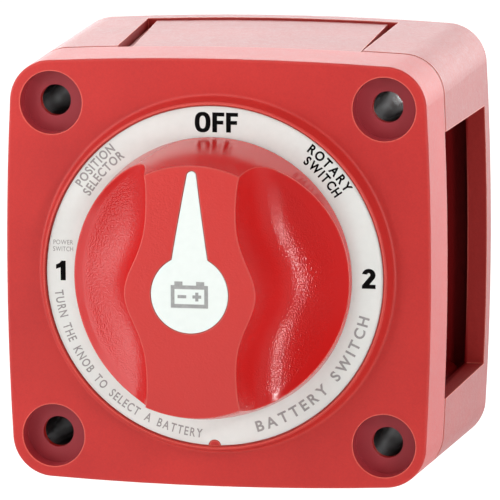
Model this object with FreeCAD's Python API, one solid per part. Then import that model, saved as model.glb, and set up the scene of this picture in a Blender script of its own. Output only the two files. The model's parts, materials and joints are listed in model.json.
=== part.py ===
"""Marine battery selector switch: a square surface-mount body with a rotary knob and three rear studs.

Everything is modelled in the switch's own frame, in millimetres: X to the right, Y up the face, and Z
out of the wall towards the user, with the centre of the rear mounting plane at the origin. Each finished
piece is then turned so that +Z is up and the dial faces -Y.
"""
import FreeCAD, Part

import math
import os

# Modelling allowances
PAST = 1.0
BITE = 0.1
HAIR = 0.02

# Body outline
DEPTH = 54.6
FACE_HALF = 34.925
BACK_HALF = 36.4
BOW_RADIUS = 520.0
CORNER_RADIUS = 6.8
FACE_EDGE_ROUND = 0.35
BACK_EDGE_ROUND = 1.4
WALL = 3.3

# Rear isolating casing and its cable windows
JOINT_Z = 40.4
JOINT_STEP = 0.08
JOINT_STEP_LENGTH = 1.2
CASING_FLOOR = 2.6
WINDOW_BACK_Z = 5.1
CORNER_TUBE_R = 5.6

# Window and plate limits across the wall: (low, high) at the rear, then at the front housing.
# The top window tapers and its plate sits askew in it.
SIDE_WINDOW = ((-22.0, 22.0), (-22.0, 22.0))
SIDE_PANEL = ((-20.5, 20.5), (-20.5, 20.5))
TOP_WINDOW = ((-21.1, 22.1), (-21.1, 19.6))
TOP_PANEL = ((-19.35, 20.4), (-20.65, 17.2))

# Side plates that close three of the windows
PLATE_CLEARANCE = 0.3
PLATE_RECESS = 0.35
PLATE_STEP = 1.6
PLATE_INNER = 3.1
PLATE_BACK_Z = 5.7
PLATE_FRONT_Z = 40.3

# Corner mounting holes
HOLE_PITCH = 54.65
HOLE_R = 2.55
COUNTERBORE_R = 5.15
COUNTERBORE_DEPTH = 3.4
COUNTERBORE_FLOOR = 1.5
COLUMN_R = 5.0
COLUMN_POCKET_R = 5.2
COLUMN_BACK_Z = 40.7
COLUMN_END_GAP = 0.05
CORNER_BOSS_R = 6.9
CORNER_BOSS_Z = 46.5
CORNER_BOSS_INSET = 1.0

# Raised dial collar and its label
COLLAR_FOOT_R = 28.9
COLLAR_CREST_R = 28.2
COLLAR_LIP_R = 27.75
COLLAR_CREST = 3.0
COLLAR_SEAT = 2.25
COLLAR_FOOT_ROUND = 0.6
COLLAR_FOOT_STEPS = 5
LIP_ROUND = 0.12
LABEL_R = 27.6
LABEL_THICK = 0.25
LABEL_INNER_R = 8.0
KEY_R = 0.95
KEY_CLEARANCE = 0.12

# Front housing interior
PLATE_THICK = 3.0
LEDGE_Z = 43.6
LOW_CAVITY_HALF = 31.85
CAVITY_CORNER = 3.5
HIGH_CAVITY_HALF = 29.3
COLLAR_CAVITY_R = 26.0
COLLAR_CAVITY_TOP = 54.2
BEARING_BOSS_R = 8.5
BEARING_BOSS_Z = 50.0
INDEX_RING_R = 22.3
INDEX_RING_WALL = 2.0
INDEX_RING_Z = 43.8
INDEX_NOTCH_R = 1.7
INDEX_NOTCH_OFFSET = 0.8

# Terminal base
BASE_HALF = 31.6
BASE_CORNER = 3.6
BASE_BACK_Z = 28.0
BASE_FLOOR_Z = 33.0
BASE_FRONT_Z = 43.0
BASE_CAVITY_R = 22.6
BARRIER_BACK_Z = 13.0
BARRIER_THICK = 2.4
BARRIER_INNER_R = 5.0
BARRIER_OUTER_R = 25.0
GASKET_INNER_R = 22.8
GASKET_OUTER_R = 24.8
GASKET_THICK = 0.75

# Screws that hold the base to the front housing
BASE_SCREW_X = 26.3
BASE_SCREW_Y = 13.5
BASE_SCREW_R = 1.45
BASE_SCREW_HOLE_R = 1.5
BASE_SCREW_BOSS_R = 3.3
BASE_SCREW_HEAD_R = 2.8
BASE_SCREW_SINK_R = 3.1
BASE_SCREW_HEAD = 1.8
BASE_SCREW_TIP_Z = 49.0
SCREW_END_ROOM = 0.4
SLOT_WIDTH = 0.9
SLOT_DEPTH = 0.7

# Studs: 3/8-16 thread
STUD_RADIUS = 4.76
STUD_CIRCLE = 16.4
STUD_TIP_Z = 5.5
STUD_TIP_CHAMFER = 0.8
STUD_HEAD_R = 6.0
STUD_HEAD = 2.0
NUT_FLATS = 14.29
NUT_HEIGHT = 7.9
NUT_BORE_R = 4.81
NUT_CHAMFER = 0.2
FLAT_WASHER_R = 9.5
FLAT_WASHER = 1.6
LOCK_WASHER_R = 7.6
LOCK_WASHER = 2.2
LOCK_WASHER_SPLIT = 1.2

# Spindle
SPINDLE_R = 5.0
SPINDLE_BORE_R = 5.05
PIVOT_R = 3.0
PIVOT_BORE_R = 3.05
PIVOT_Z = 30.2
PIVOT_END_GAP = 0.2
SQUARE = 8.0
SQUARE_HOLE = 8.1
SHOULDER_GAP = 0.4
SPINDLE_TOP_Z = 69.5
DRIVE_R = 4.8
DRIVE_FLAT = 3.7
DRIVE_CLEARANCE = 0.05
SEAL_Z = 53.6
SEAL_GROOVE_R = 3.8
SEAL_GROOVE = 1.6
SEAL_SECTION_R = 0.6
THRUST_WASHER_R = 8.0
THRUST_WASHER_INNER_R = 5.9
THRUST_WASHER = 0.6

# Contact rotor, moving contacts and indexing
ROTOR_R = 21.6
ROTOR_BACK_Z = 38.2
ROTOR_DISC_TOP = 42.8
ROTOR_ARM_TOP = 49.2
ROTOR_ARM_HALF = 5.5
ROTOR_ARM_LENGTH = 20.8
ROTOR_HUB_R = 9.5
DRIVE_WALL = 1.6
DRIVE_WALL_REACH = 21.0
DRIVE_WALL_PLAY = 1.0
CONTACT_GAP = 0.1
CONTACT_THICK = 2.2
CONTACT_INNER_R = 11.2
CONTACT_OUTER_R = 20.8
CONTACT_START = 95.0
CONTACT_END = 192.0
CONTACT_TRAVEL = 0.7
SPRING_POCKET_R = 2.7
SPRING_POCKET = 4.0
SPRING_COIL_R = 2.0
SPRING_WIRE_R = 0.32
SPRING_TURNS = 4
SPRING_ANGLES = (112.0, 174.0)
SPRING_CIRCLE = 16.0
PLUNGER_Z = 46.0
PLUNGER_R = 2.4
PLUNGER_BORE_R = 2.46
PLUNGER_INNER = 15.5
PLUNGER_REACH = 22.0
PLUNGER_NOSE = 1.2
PLUNGER_NOSE_R = 1.08
PLUNGER_BORE_INNER = 10.6
INDEX_SPRING_COIL_R = 1.85

# Knob
KNOB_GAP = 0.35
KNOB_BASE_R = 22.7
KNOB_BASE_CHAMFER = 0.3
KNOB_TOP_Z = 76.2
KNOB_SHOULDER_R = 20.15
KNOB_SHOULDER_Z = 74.0
KNOB_SKIRT_BOW = 0.33
CROWN_RADIUS = 92.0
GRIP_NECK = 7.0
GRIP_SWELL = 3.5
GRIP_SPREAD = 6.6
GRIP_FLARE = 0.5
GRIP_FLARE_Y = 19.0
GRIP_FLARE_END_Y = 21.0
GRIP_FLARE_POWER = 8
SCOOP_REACH = 12.0
SCOOP_ROUND = 0.96
SCOOP_RIM = 1.8
SCOOP_RISE = 0.011
SCOOP_ABOVE = 0.4
SCOOP_STEPS = (0.0, 0.35, 0.9, 1.8, 3.2, 5.2, 8.0, 11.0, 15.0)
SCOOP_END_Y = 24.0
SCOOP_STATIONS = 17
CLEAR_ABOVE = 6.0
KNOB_RECESS_R = 20.4
KNOB_RECESS_TOP = 58.5
KNOB_WELL_R = 14.0
KNOB_WELL_TOP = 59.8
KNOB_SLOT_HALF = 4.3
KNOB_SLOT_INNER = 8.0
KNOB_SLOT_OUTER = 16.5
KNOB_SLOT_TOP = 69.0
KNOB_SOCKET_R = 7.4

# Pointer label and the screw beneath it
POINTER_HUB_R = 6.19
POINTER_ROOT = 3.05
POINTER_ROOT_Y = 4.4
POINTER_TIP = 0.75
POINTER_TIP_Y = 19.35
POINTER_MARGIN = 0.12
POINTER_BLANK_Z = 70.0
POINTER_SUNK = 0.05
POINTER_DEEP = 0.42
KNOB_SCREW_R = 1.9
KNOB_SCREW_HEAD_R = 3.4
KNOB_SCREW_HEAD = 2.4
KNOB_SCREW_TOP_Z = 75.2
KNOB_SCREW_TIP_Z = 61.5
CROSS_HALF = 2.2
CROSS_DEPTH = 1.2

OUTSIDE = BACK_HALF + 5
AXIS = FreeCAD.Vector(0, 0, 1)
HOLE_AT = HOLE_PITCH / 2
CORNERS = [(sx * HOLE_AT, sy * HOLE_AT) for sx in (-1, 1) for sy in (-1, 1)]
BASE_SCREWS = [(sx * BASE_SCREW_X, sy * BASE_SCREW_Y) for sx in (-1, 1) for sy in (-1, 1)]
COUNTERBORE_Z = DEPTH - COUNTERBORE_DEPTH
COLUMN_TOP_Z = COUNTERBORE_Z - COUNTERBORE_FLOOR
CAVITY_TOP_Z = DEPTH - PLATE_THICK
SEAT_Z = DEPTH + COLLAR_SEAT
LABEL_TOP_Z = SEAT_Z + LABEL_THICK
KNOB_BASE_Z = LABEL_TOP_Z + KNOB_GAP
STUD_PLACES = {
    "stud_1": (-STUD_CIRCLE, 0.0),
    "stud_2": (STUD_CIRCLE, 0.0),
    "stud_common": (0.0, -STUD_CIRCLE),
}


def point(x, y, z):
    return FreeCAD.Vector(x, y, z)


def cylinder(radius, low, high, x=0.0, y=0.0):
    """A round bar along the switch axis from depth low to depth high."""
    return Part.makeCylinder(radius, high - low, point(x, y, low), AXIS)


def block(x_low, x_high, y_low, y_high, low, high):
    corner = point(x_low, y_low, low)
    return Part.makeBox(x_high - x_low, y_high - y_low, high - low, corner)


def fused(first, *others):
    return first.multiFuse(list(others)).removeSplitter()


def turned(shape, degrees):
    """A copy turned about the switch axis."""
    copy = shape.copy()
    copy.rotate(point(0, 0, 0), AXIS, degrees)
    return copy


def mirrored(shape, normal):
    return shape.mirror(point(0, 0, 0), normal)


def revolved(outline):
    """Turn a closed outline of (radius, depth) points about the switch axis."""
    points = [point(radius, 0, depth) for radius, depth in outline]
    wire = Part.makePolygon(points + points[:1])
    return Part.Face(wire).revolve(point(0, 0, 0), AXIS, 360)


def outline(half, corner, depth, bow=BOW_RADIUS):
    """The rounded square of the body: four slightly bowed sides joined by corner arcs."""
    reach = bow - half
    centre = (math.sqrt(2 * (bow - corner) ** 2 - reach ** 2) - reach) / 2
    angle = math.atan2(centre, centre + reach)
    swing = math.radians(45)
    edges = []
    for quarter in range(4):
        turn = quarter * math.pi / 2

        def place(x, y):
            along = x * math.cos(turn) - y * math.sin(turn)
            across = x * math.sin(turn) + y * math.cos(turn)
            return point(along, across, depth)

        side_x = bow * math.cos(angle) - reach
        side_y = bow * math.sin(angle)
        diagonal = centre + corner * math.cos(swing)
        edges.append(Part.Arc(place(side_x, -side_y), place(half, 0), place(side_x, side_y)).toShape())
        corner_arc = Part.Arc(place(side_x, side_y), place(diagonal, diagonal), place(side_y, side_x))
        edges.append(corner_arc.toShape())
    return Part.Wire(edges)


def prism(half, corner, low, high):
    """A straight rounded square bar."""
    return Part.Face(outline(half, corner, low)).extrude(point(0, 0, high - low))


def half_at(depth):
    """Half width of the drafted body at a given distance from the wall."""
    return BACK_HALF + (FACE_HALF - BACK_HALF) * depth / DEPTH


def drafted(low, high, inset=0.0):
    """The drafted body between two depths, inset from its outer surface."""
    corner = max(CORNER_RADIUS - inset, 1.0)
    wires = [outline(half_at(z) - inset, corner, z) for z in (low, high)]
    return Part.makeLoft(wires, True, True)


def edges_at(shape, depth):
    """Edges that lie wholly in one plane across the switch axis."""
    found = []
    for edge in shape.Edges:
        box = edge.BoundBox
        if abs(box.ZMin - depth) < 1e-4 and abs(box.ZMax - depth) < 1e-4:
            found.append(edge)
    return found


# Front housing

def collar():
    """Raised round collar whose thin lip stands round the label seat."""
    foot = []
    for step in range(COLLAR_FOOT_STEPS + 1):
        angle = math.radians(90) * step / COLLAR_FOOT_STEPS
        radius = COLLAR_FOOT_R + COLLAR_FOOT_ROUND * (1 - math.sin(angle))
        depth = DEPTH + COLLAR_FOOT_ROUND * (1 - math.cos(angle))
        foot.append((radius, depth))
    lip_middle = (COLLAR_CREST_R + COLLAR_LIP_R) / 2
    crest = DEPTH + COLLAR_CREST
    profile = [(0.0, DEPTH - PAST), (COLLAR_FOOT_R + COLLAR_FOOT_ROUND, DEPTH - PAST)]
    profile += foot
    side = crest - LIP_ROUND
    low_side = side - LIP_ROUND
    profile += [(COLLAR_CREST_R + LIP_ROUND, low_side), (COLLAR_CREST_R, side), (lip_middle, crest)]
    profile += [(COLLAR_LIP_R + LIP_ROUND / 2, side), (COLLAR_LIP_R, low_side)]
    profile += [(COLLAR_LIP_R, SEAT_Z), (0.0, SEAT_Z)]
    return revolved(profile)


def locating_key(radius):
    """Half-round key at the foot of the dial that stops the label from turning."""
    return cylinder(radius, SEAT_Z - PAST, LABEL_TOP_Z, 0, -COLLAR_LIP_R)


def index_ring():
    """Inner wall with a shallow notch at every quarter turn for the index plungers."""
    ring = cylinder(INDEX_RING_R + INDEX_RING_WALL, INDEX_RING_Z, COLLAR_CAVITY_TOP + BITE)
    ring = ring.cut(cylinder(INDEX_RING_R, INDEX_RING_Z, COLLAR_CAVITY_TOP + BITE))
    notch_at = INDEX_RING_R - INDEX_NOTCH_OFFSET
    notch = cylinder(INDEX_NOTCH_R, INDEX_RING_Z, COLLAR_CAVITY_TOP, notch_at, 0)
    for quarter in range(4):
        ring = ring.cut(turned(notch, 90 * quarter))
    return ring


def front_housing():
    shell = drafted(JOINT_Z, DEPTH)
    shell = shell.makeFillet(FACE_EDGE_ROUND, edges_at(shell, DEPTH))
    key = locating_key(KEY_R).common(cylinder(COLLAR_CREST_R, SEAT_Z - PAST, LABEL_TOP_Z))
    shell = fused(shell, collar(), key)
    shell = shell.cut(prism(LOW_CAVITY_HALF, CAVITY_CORNER, JOINT_Z - PAST, LEDGE_Z))
    shell = shell.cut(prism(HIGH_CAVITY_HALF, CAVITY_CORNER, LEDGE_Z - BITE, CAVITY_TOP_Z))
    shell = shell.cut(cylinder(COLLAR_CAVITY_R, CAVITY_TOP_Z - BITE, COLLAR_CAVITY_TOP))
    bearing = cylinder(BEARING_BOSS_R, BEARING_BOSS_Z, COLLAR_CAVITY_TOP + BITE)
    bosses = [cylinder(BASE_SCREW_BOSS_R, LEDGE_Z, CAVITY_TOP_Z + BITE, x, y) for x, y in BASE_SCREWS]
    room = drafted(JOINT_Z, DEPTH - PAST, CORNER_BOSS_INSET)
    for x, y in CORNERS:
        bosses.append(cylinder(CORNER_BOSS_R, CORNER_BOSS_Z, CAVITY_TOP_Z + BITE, x, y).common(room))
    shell = fused(shell, index_ring(), bearing, *bosses)
    shell = shell.cut(cylinder(SPINDLE_BORE_R, BEARING_BOSS_Z - PAST, SEAT_Z + PAST))
    for x, y in CORNERS:
        shell = shell.cut(cylinder(COLUMN_POCKET_R, JOINT_Z - PAST, COLUMN_TOP_Z, x, y))
        shell = shell.cut(cylinder(HOLE_R, JOINT_Z, DEPTH, x, y))
        shell = shell.cut(cylinder(COUNTERBORE_R, COUNTERBORE_Z, DEPTH + PAST, x, y))
    thread_end = BASE_SCREW_TIP_Z + SCREW_END_ROOM
    for x, y in BASE_SCREWS:
        shell = shell.cut(cylinder(BASE_SCREW_HOLE_R, LEDGE_Z - PAST, thread_end, x, y))
    return shell


def dial_label():
    label = cylinder(LABEL_R, SEAT_Z, LABEL_TOP_Z)
    label = label.cut(cylinder(LABEL_INNER_R, SEAT_Z, LABEL_TOP_Z))
    return label.cut(locating_key(KEY_R + KEY_CLEARANCE))


# Rear casing and side plates

def tapered_bar(x_low, limits, low, high):
    """Bar that leaves the switch through the right-hand wall, with its own width at each end."""
    (rear_left, rear_right), (front_left, front_right) = limits
    corners = [point(x_low, rear_left, low), point(x_low, rear_right, low)]
    corners += [point(x_low, front_right, high), point(x_low, front_left, high)]
    return Part.Face(Part.makePolygon(corners + corners[:1])).extrude(point(OUTSIDE - x_low, 0, 0))


def window_cutter(limits):
    """Opening in the right-hand wall, open towards the front housing."""
    inside = FACE_HALF - 2 * WALL
    opening = tapered_bar(inside, limits, WINDOW_BACK_Z, JOINT_Z)
    (low, high) = limits[1]
    return opening.fuse(block(inside, OUTSIDE, low, high, JOINT_Z, JOINT_Z + PAST))


def rear_casing():
    shell = drafted(0, JOINT_Z, 0)
    shell = shell.makeFillet(BACK_EDGE_ROUND, edges_at(shell, 0))
    step_low = JOINT_Z - JOINT_STEP_LENGTH
    step = prism(half_at(JOINT_Z) + PAST, CORNER_RADIUS, step_low, JOINT_Z)
    step = step.cut(drafted(step_low, JOINT_Z, JOINT_STEP))
    shell = shell.cut(step)
    cavity = drafted(CASING_FLOOR, JOINT_Z + PAST, WALL)
    shell = shell.cut(cavity)
    tubes = [cylinder(CORNER_TUBE_R, CASING_FLOOR - BITE, BASE_BACK_Z - BITE, x, y) for x, y in CORNERS]
    shell = fused(shell, *tubes)
    for degrees in (0, 180, 270):
        shell = shell.cut(turned(window_cutter(SIDE_WINDOW), degrees))
    shell = shell.cut(turned(window_cutter(TOP_WINDOW), 90))
    for x, y in CORNERS:
        shell = shell.cut(cylinder(HOLE_R, -PAST, BASE_BACK_Z, x, y))
    return shell


def plate_layer(limits, outside, inside):
    """Slice of the right-hand wall between two depths below its outer surface."""
    bar = tapered_bar(0, limits, PLATE_BACK_Z, PLATE_FRONT_Z)
    return bar.common(drafted(0, DEPTH, outside)).cut(drafted(-PAST, DEPTH + PAST, inside))


def side_plate(degrees, window, panel):
    """Snap-in plate: a visible panel backed by a wider flange that fills the window's width."""
    flange = [(low + PLATE_CLEARANCE, high - PLATE_CLEARANCE) for low, high in window]
    front = plate_layer(panel, PLATE_RECESS, PLATE_STEP + HAIR)
    back = plate_layer(flange, PLATE_STEP, PLATE_INNER)
    return turned(fused(front, back), degrees)


# Terminal base with its studs

def barrier():
    """Isolating rib between two studs."""
    half = BARRIER_THICK / 2
    return block(BARRIER_INNER_R, BARRIER_OUTER_R, -half, half, BARRIER_BACK_Z, BASE_BACK_Z + BITE)


def terminal_base():
    base = prism(BASE_HALF, BASE_CORNER, BASE_BACK_Z, BASE_FRONT_Z)
    column_top = COLUMN_TOP_Z - COLUMN_END_GAP
    columns = [cylinder(COLUMN_R, COLUMN_BACK_Z, column_top, x, y) for x, y in CORNERS]
    barriers = [turned(barrier(), 45 + 90 * quarter) for quarter in range(4)]
    base = fused(base, *columns, *barriers)
    base = base.cut(cylinder(BASE_CAVITY_R, BASE_FLOOR_Z, BASE_FRONT_Z + PAST))
    base = base.cut(cylinder(PIVOT_BORE_R, PIVOT_Z - PIVOT_END_GAP, BASE_FLOOR_Z + PAST))
    for x, y in CORNERS:
        base = base.cut(cylinder(HOLE_R, BASE_BACK_Z - PAST, COLUMN_TOP_Z + PAST, x, y))
    for x, y in BASE_SCREWS:
        base = base.cut(cylinder(BASE_SCREW_HOLE_R, BASE_BACK_Z - PAST, BASE_FRONT_Z + PAST, x, y))
        base = base.cut(cylinder(BASE_SCREW_SINK_R, BASE_BACK_Z - PAST, BASE_BACK_Z + BASE_SCREW_HEAD, x, y))
    for x, y in STUD_PLACES.values():
        base = base.cut(cylinder(NUT_BORE_R, BASE_BACK_Z - PAST, BASE_FLOOR_Z + PAST, x, y))
    return base


def base_gasket():
    """Flat ring gasket between the base's rim and the end of the index ring."""
    ring = cylinder(GASKET_OUTER_R, BASE_FRONT_Z, BASE_FRONT_Z + GASKET_THICK)
    return ring.cut(cylinder(GASKET_INNER_R, BASE_FRONT_Z, BASE_FRONT_Z + GASKET_THICK))


def base_screw(x, y):
    """Slotted cheese-head screw that enters the base from the rear."""
    head_top = BASE_BACK_Z + BASE_SCREW_HEAD
    head = cylinder(BASE_SCREW_HEAD_R, BASE_BACK_Z, head_top, x, y)
    shank = cylinder(BASE_SCREW_R, head_top - BITE, BASE_SCREW_TIP_Z, x, y)
    half = SLOT_WIDTH / 2
    reach = BASE_SCREW_HEAD_R + PAST
    slot = block(x - reach, x + reach, y - half, y + half, BASE_BACK_Z - PAST, BASE_BACK_Z + SLOT_DEPTH)
    return fused(head, shank).cut(slot)


def stud(x, y):
    """Threaded terminal stud with a flat contact head inside the base."""
    head = cylinder(STUD_HEAD_R, BASE_FLOOR_Z, BASE_FLOOR_Z + STUD_HEAD, x, y)
    shank = cylinder(STUD_RADIUS, STUD_TIP_Z + STUD_TIP_CHAMFER, BASE_FLOOR_Z + BITE, x, y)
    end = point(x, y, STUD_TIP_Z)
    tip = Part.makeCone(STUD_RADIUS - STUD_TIP_CHAMFER, STUD_RADIUS, STUD_TIP_CHAMFER, end, AXIS)
    return fused(head, shank, tip)


def stud_nut(x, y):
    high = BASE_BACK_Z - FLAT_WASHER - LOCK_WASHER
    corner_r = NUT_FLATS / math.sqrt(3)
    corners = []
    for corner in range(7):
        angle = math.radians(60 * corner + 30)
        corners.append(point(x + corner_r * math.cos(angle), y + corner_r * math.sin(angle), high))
    nut = Part.Face(Part.makePolygon(corners)).extrude(point(0, 0, -NUT_HEIGHT))
    low = high - NUT_HEIGHT
    rim = NUT_FLATS / 2 - NUT_CHAMFER
    chamfer = Part.makeCone(rim, rim + NUT_HEIGHT, NUT_HEIGHT, point(x, y, low), AXIS)
    return nut.common(chamfer).cut(cylinder(NUT_BORE_R, low - PAST, high + PAST, x, y))


def flat_washer(x, y):
    low = BASE_BACK_Z - FLAT_WASHER
    return cylinder(FLAT_WASHER_R, low, BASE_BACK_Z, x, y).cut(cylinder(NUT_BORE_R, low, BASE_BACK_Z, x, y))


def lock_washer(x, y):
    """Split spring washer between the nut and the flat washer."""
    high = BASE_BACK_Z - FLAT_WASHER
    low = high - LOCK_WASHER
    ring = cylinder(LOCK_WASHER_R, low, high, x, y).cut(cylinder(NUT_BORE_R, low, high, x, y))
    half = LOCK_WASHER_SPLIT / 2
    return ring.cut(block(x, x + LOCK_WASHER_R + PAST, y - half, y + half, low, high))


# Spindle group

def square_bar(side, low, high):
    half = side / 2
    return block(-half, half, -half, half, low, high)


def drive(radius, flat, low, high):
    """Round bar with two flats that turns the knob and the spindle together."""
    return cylinder(radius, low, high).common(block(-flat, flat, -radius, radius, low, high))


def spindle():
    pivot = cylinder(PIVOT_R, PIVOT_Z, BASE_FLOOR_Z + PAST)
    bar = square_bar(SQUARE, BASE_FLOOR_Z + SHOULDER_GAP, ROTOR_ARM_TOP + BITE)
    journal = cylinder(SPINDLE_R, ROTOR_ARM_TOP + HAIR, SEAT_Z)
    top = drive(DRIVE_R, DRIVE_FLAT, SEAT_Z - BITE, SPINDLE_TOP_Z)
    body = fused(pivot, bar, journal, top)
    low = SEAL_Z - SEAL_GROOVE / 2
    high = SEAL_Z + SEAL_GROOVE / 2
    groove = cylinder(SPINDLE_R + PAST, low, high).cut(cylinder(SEAL_GROOVE_R, low, high))
    thread_end = KNOB_SCREW_TIP_Z - SCREW_END_ROOM
    screw_hole = cylinder(KNOB_SCREW_R + DRIVE_CLEARANCE, thread_end, SPINDLE_TOP_Z + PAST)
    return body.cut(groove).cut(screw_hole)


def spindle_seal():
    middle = SEAL_GROOVE_R + HAIR + SEAL_SECTION_R
    return Part.makeTorus(middle, SEAL_SECTION_R, point(0, 0, SEAL_Z), AXIS)


def thrust_washer():
    low = ROTOR_ARM_TOP + DRIVE_CLEARANCE
    high = low + THRUST_WASHER
    return cylinder(THRUST_WASHER_R, low, high).cut(cylinder(THRUST_WASHER_INNER_R, low, high))


# Contact rotor

def sector(inner, outer, start, end, low, high):
    """Part of a flat ring between two angles, in degrees."""
    first = math.radians(start)
    middle = math.radians((start + end) / 2)
    last = math.radians(end)

    def at(radius, angle):
        return point(radius * math.cos(angle), radius * math.sin(angle), low)

    outer_arc = Part.Arc(at(outer, first), at(outer, middle), at(outer, last)).toShape()
    inner_arc = Part.Arc(at(inner, last), at(inner, middle), at(inner, first)).toShape()
    last_side = Part.makeLine(at(outer, last), at(inner, last))
    first_side = Part.makeLine(at(inner, first), at(outer, first))
    wire = Part.Wire([outer_arc, last_side, inner_arc, first_side])
    return Part.Face(wire).extrude(point(0, 0, high - low))


def contact_bar():
    """Moving contact on the left: a copper sector that bridges two studs a quarter turn apart."""
    low = BASE_FLOOR_Z + STUD_HEAD + CONTACT_GAP
    return sector(CONTACT_INNER_R, CONTACT_OUTER_R, CONTACT_START, CONTACT_END, low, low + CONTACT_THICK)


def spring_places():
    """Centres of the springs that press on the left-hand contact."""
    places = []
    for degrees in SPRING_ANGLES:
        angle = math.radians(degrees)
        places.append((SPRING_CIRCLE * math.cos(angle), SPRING_CIRCLE * math.sin(angle)))
    return places


def contact_rotor():
    disc = cylinder(ROTOR_R, ROTOR_BACK_Z, ROTOR_DISC_TOP)
    hub_back = BASE_FLOOR_Z + STUD_HEAD + SHOULDER_GAP
    hub = cylinder(ROTOR_HUB_R, hub_back, ROTOR_ARM_TOP)
    reach, half = ROTOR_ARM_LENGTH, ROTOR_ARM_HALF
    arm = block(-reach, reach, -half, half, ROTOR_DISC_TOP - BITE, ROTOR_ARM_TOP)
    half = DRIVE_WALL / 2
    wall = block(ROTOR_HUB_R - PAST, DRIVE_WALL_REACH, -half, half, hub_back, ROTOR_BACK_Z + BITE)
    lean = math.degrees(math.asin(half / CONTACT_INNER_R)) + DRIVE_WALL_PLAY
    walls = [turned(wall, angle) for angle in (90, CONTACT_END + lean, 180 - CONTACT_END - lean)]
    rotor = fused(disc, hub, arm, *walls)
    rotor = rotor.cut(square_bar(SQUARE_HOLE, hub_back - PAST, ROTOR_ARM_TOP + PAST))
    for x, y in spring_places():
        pocket = cylinder(SPRING_POCKET_R, ROTOR_BACK_Z - BITE, ROTOR_BACK_Z + SPRING_POCKET, x, y)
        rotor = rotor.cut(pocket).cut(mirrored(pocket, point(1, 0, 0)))
    length = ROTOR_ARM_LENGTH - PLUNGER_BORE_INNER + PAST
    bore = Part.makeCylinder(PLUNGER_BORE_R, length, point(PLUNGER_BORE_INNER, 0, PLUNGER_Z), point(1, 0, 0))
    return rotor.cut(bore).cut(mirrored(bore, point(1, 0, 0)))


def coil(radius, wire_radius, length, turns):
    """Open coil spring standing on the origin along Z: tilted half rings that meet end to end."""
    rise = (length - 2 * wire_radius) / (2 * turns)
    tilt = math.degrees(math.atan2(rise, 2 * radius))
    ring = math.hypot(2 * radius, rise) / 2
    origin = point(0, 0, 0)
    halves = []
    for count in range(2 * turns):
        half = Part.makeTorus(ring, wire_radius, origin, AXIS, -180, 180, 180)
        half.rotate(origin, point(0, 1, 0), tilt)
        half = turned(half, 180 * (count % 2))
        half.translate(point(0, 0, wire_radius + rise * (count + 0.5)))
        halves.append(half)
    return fused(*halves).Solids[0]


def contact_springs():
    """The two springs behind the left-hand contact."""
    low = BASE_FLOOR_Z + STUD_HEAD + CONTACT_GAP + CONTACT_THICK + HAIR
    length = ROTOR_BACK_Z + SPRING_POCKET - HAIR - low
    springs = []
    for x, y in spring_places():
        spring = coil(SPRING_COIL_R, SPRING_WIRE_R, length, SPRING_TURNS)
        spring.translate(point(x, y, low))
        springs.append(spring)
    return Part.Compound(springs)


def index_plunger():
    """Right-hand plunger with a rounded nose that faces the index ring."""
    body_end = PLUNGER_REACH - PLUNGER_NOSE
    outward = point(1, 0, 0)
    length = body_end - PLUNGER_INNER
    body = Part.makeCylinder(PLUNGER_R, length, point(PLUNGER_INNER, 0, PLUNGER_Z), outward)
    nose = Part.makeCone(PLUNGER_R, PLUNGER_NOSE_R, PLUNGER_NOSE, point(body_end, 0, PLUNGER_Z), outward)
    return fused(body, nose)


def index_springs():
    """The springs that push the two plungers outwards."""
    length = PLUNGER_INNER - PLUNGER_BORE_INNER - 2 * HAIR
    spring = coil(INDEX_SPRING_COIL_R, SPRING_WIRE_R, length, SPRING_TURNS)
    spring.rotate(point(0, 0, 0), point(0, 1, 0), 90)
    spring.translate(point(PLUNGER_BORE_INNER + HAIR, 0, PLUNGER_Z))
    return Part.Compound([spring, mirrored(spring, point(1, 0, 0))])


# Knob

def crown(radius):
    """Wide cylinder across the switch whose top is the crowned surface of the grip."""
    end = point(-OUTSIDE, 0, KNOB_TOP_Z - CROWN_RADIUS)
    return Part.makeCylinder(radius, 2 * OUTSIDE, end, point(1, 0, 0))


def grip_half(y):
    """Half width of the grip: swollen at the hub, narrow at the neck, flared at the ends."""
    swell = GRIP_SWELL * math.exp(-(y / GRIP_SPREAD) ** 2)
    flare = GRIP_FLARE * (min(abs(y), GRIP_FLARE_END_Y) / GRIP_FLARE_Y) ** GRIP_FLARE_POWER
    return GRIP_NECK + swell + flare


def scoop_profile(y):
    """Cross-section of the finger scoop: a steep grip wall that runs out into a shallow floor."""
    edge = grip_half(y)
    rim = KNOB_BASE_Z + SCOOP_RIM + SCOOP_RISE * y * y
    top = KNOB_TOP_Z + SCOOP_ABOVE
    points = []
    for along in SCOOP_STEPS:
        fall = SCOOP_ROUND * (1 - along / SCOOP_REACH) / (SCOOP_ROUND + along)
        points.append(point(edge + along, y, rim + (top - rim) * fall))
    floor = Part.BSplineCurve()
    floor.interpolate(points)
    high = KNOB_TOP_Z + CLEAR_ABOVE
    outer = point(points[-1].x, y, high)
    inner = point(edge, y, high)
    lines = [Part.makeLine(points[-1], outer), Part.makeLine(outer, inner), Part.makeLine(inner, points[0])]
    return Part.Wire([floor.toShape()] + lines)


def scoop():
    """Right-hand finger scoop as a solid to cut away."""
    spacing = 2 * SCOOP_END_Y / (SCOOP_STATIONS - 1)
    wires = [scoop_profile(-SCOOP_END_Y + spacing * station) for station in range(SCOOP_STATIONS)]
    return Part.makeLoft(wires, True, False)


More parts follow.
